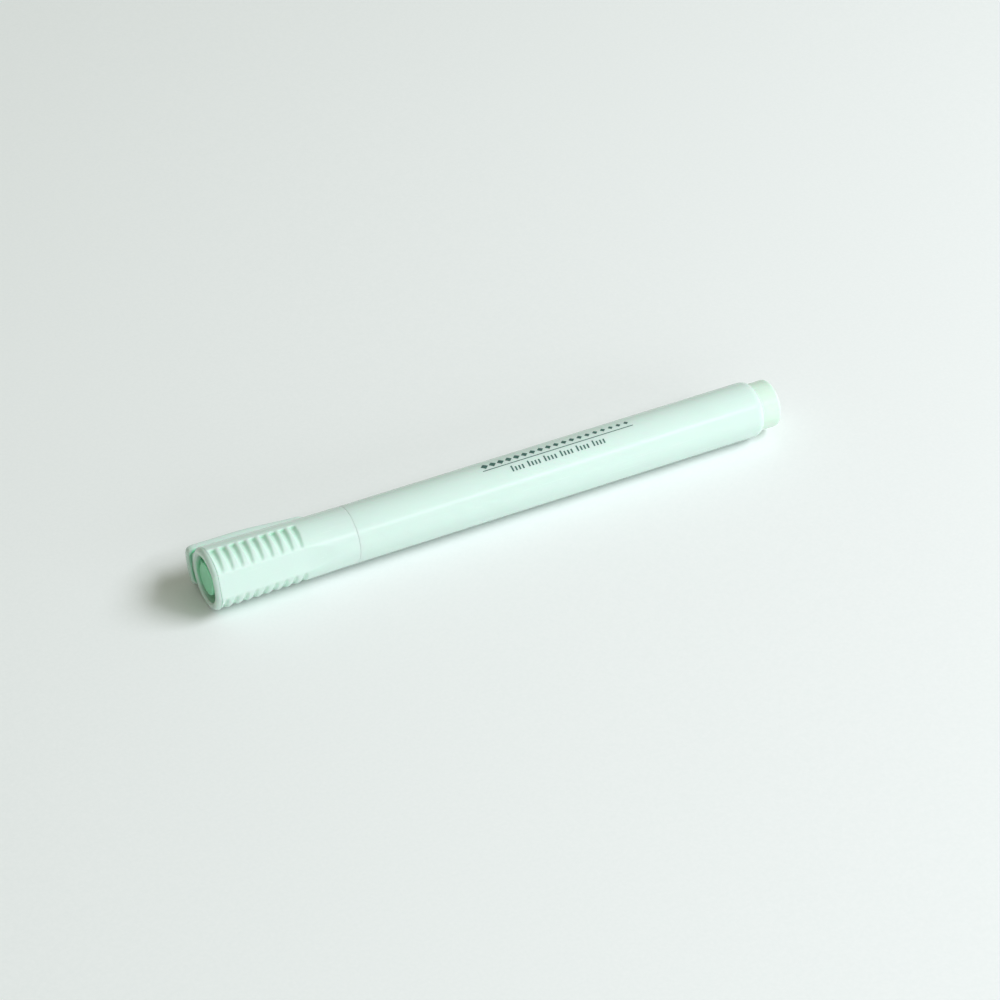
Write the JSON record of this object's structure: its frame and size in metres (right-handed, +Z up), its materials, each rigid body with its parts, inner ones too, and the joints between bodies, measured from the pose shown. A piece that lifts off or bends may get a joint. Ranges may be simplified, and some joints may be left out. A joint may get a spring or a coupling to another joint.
{
  "type": "highlighter",
  "caption": "Slim round highlighter pen with a chisel nib, a push-on cap with grip grooves and a flexing clip, and a posting stub at the tail.",
  "frame": {"origin": "under the middle of the whole pen's box, on the surface that the pen lies on", "axes": "+X along the pen from the cap to the tail, +Z up with the pen lying on the cap and the clip's lower edge; the flat on the cap faces -Y and a little up"},
  "size_m": [0.1342, 0.0166, 0.0134],
  "materials": {
    "body_plastic": "moulded pastel green, semi-gloss",
    "plug_plastic": "moulded pastel green, slightly yellower",
    "liner_plastic": "moulded green, satin",
    "nib_fibre": "bonded fibre, wet with green ink",
    "ink_fibre": "bundled fibre soaked with green ink",
    "film": "thin clear film"
  },
  "bodies": {
    "pen": {"barrel": "body_plastic", "tail_plug": "plug_plastic", "nib_holder": "plug_plastic", "nib": "nib_fibre", "ink_reservoir": "ink_fibre", "reservoir_film": "film"},
    "cap": {"cap_shell": "body_plastic", "cap_liner": "liner_plastic"},
    "clip": {"clip": "body_plastic"}
  },
  "joints": [
    {"name": "cap_pull", "type": "slide", "parent": "pen", "child": "cap", "axis": [-1, 0, 0], "range_m": [0, 0.035]},
    {"name": "clip_flex", "type": "hinge", "parent": "cap", "child": "clip", "pos_m": [-0.06449, 0.00494, 0.0048], "axis": [0, 0.2711, 0.9625], "range_deg": [0, 4], "stiffness_Nm_per_rad": 0.5}
  ]
}
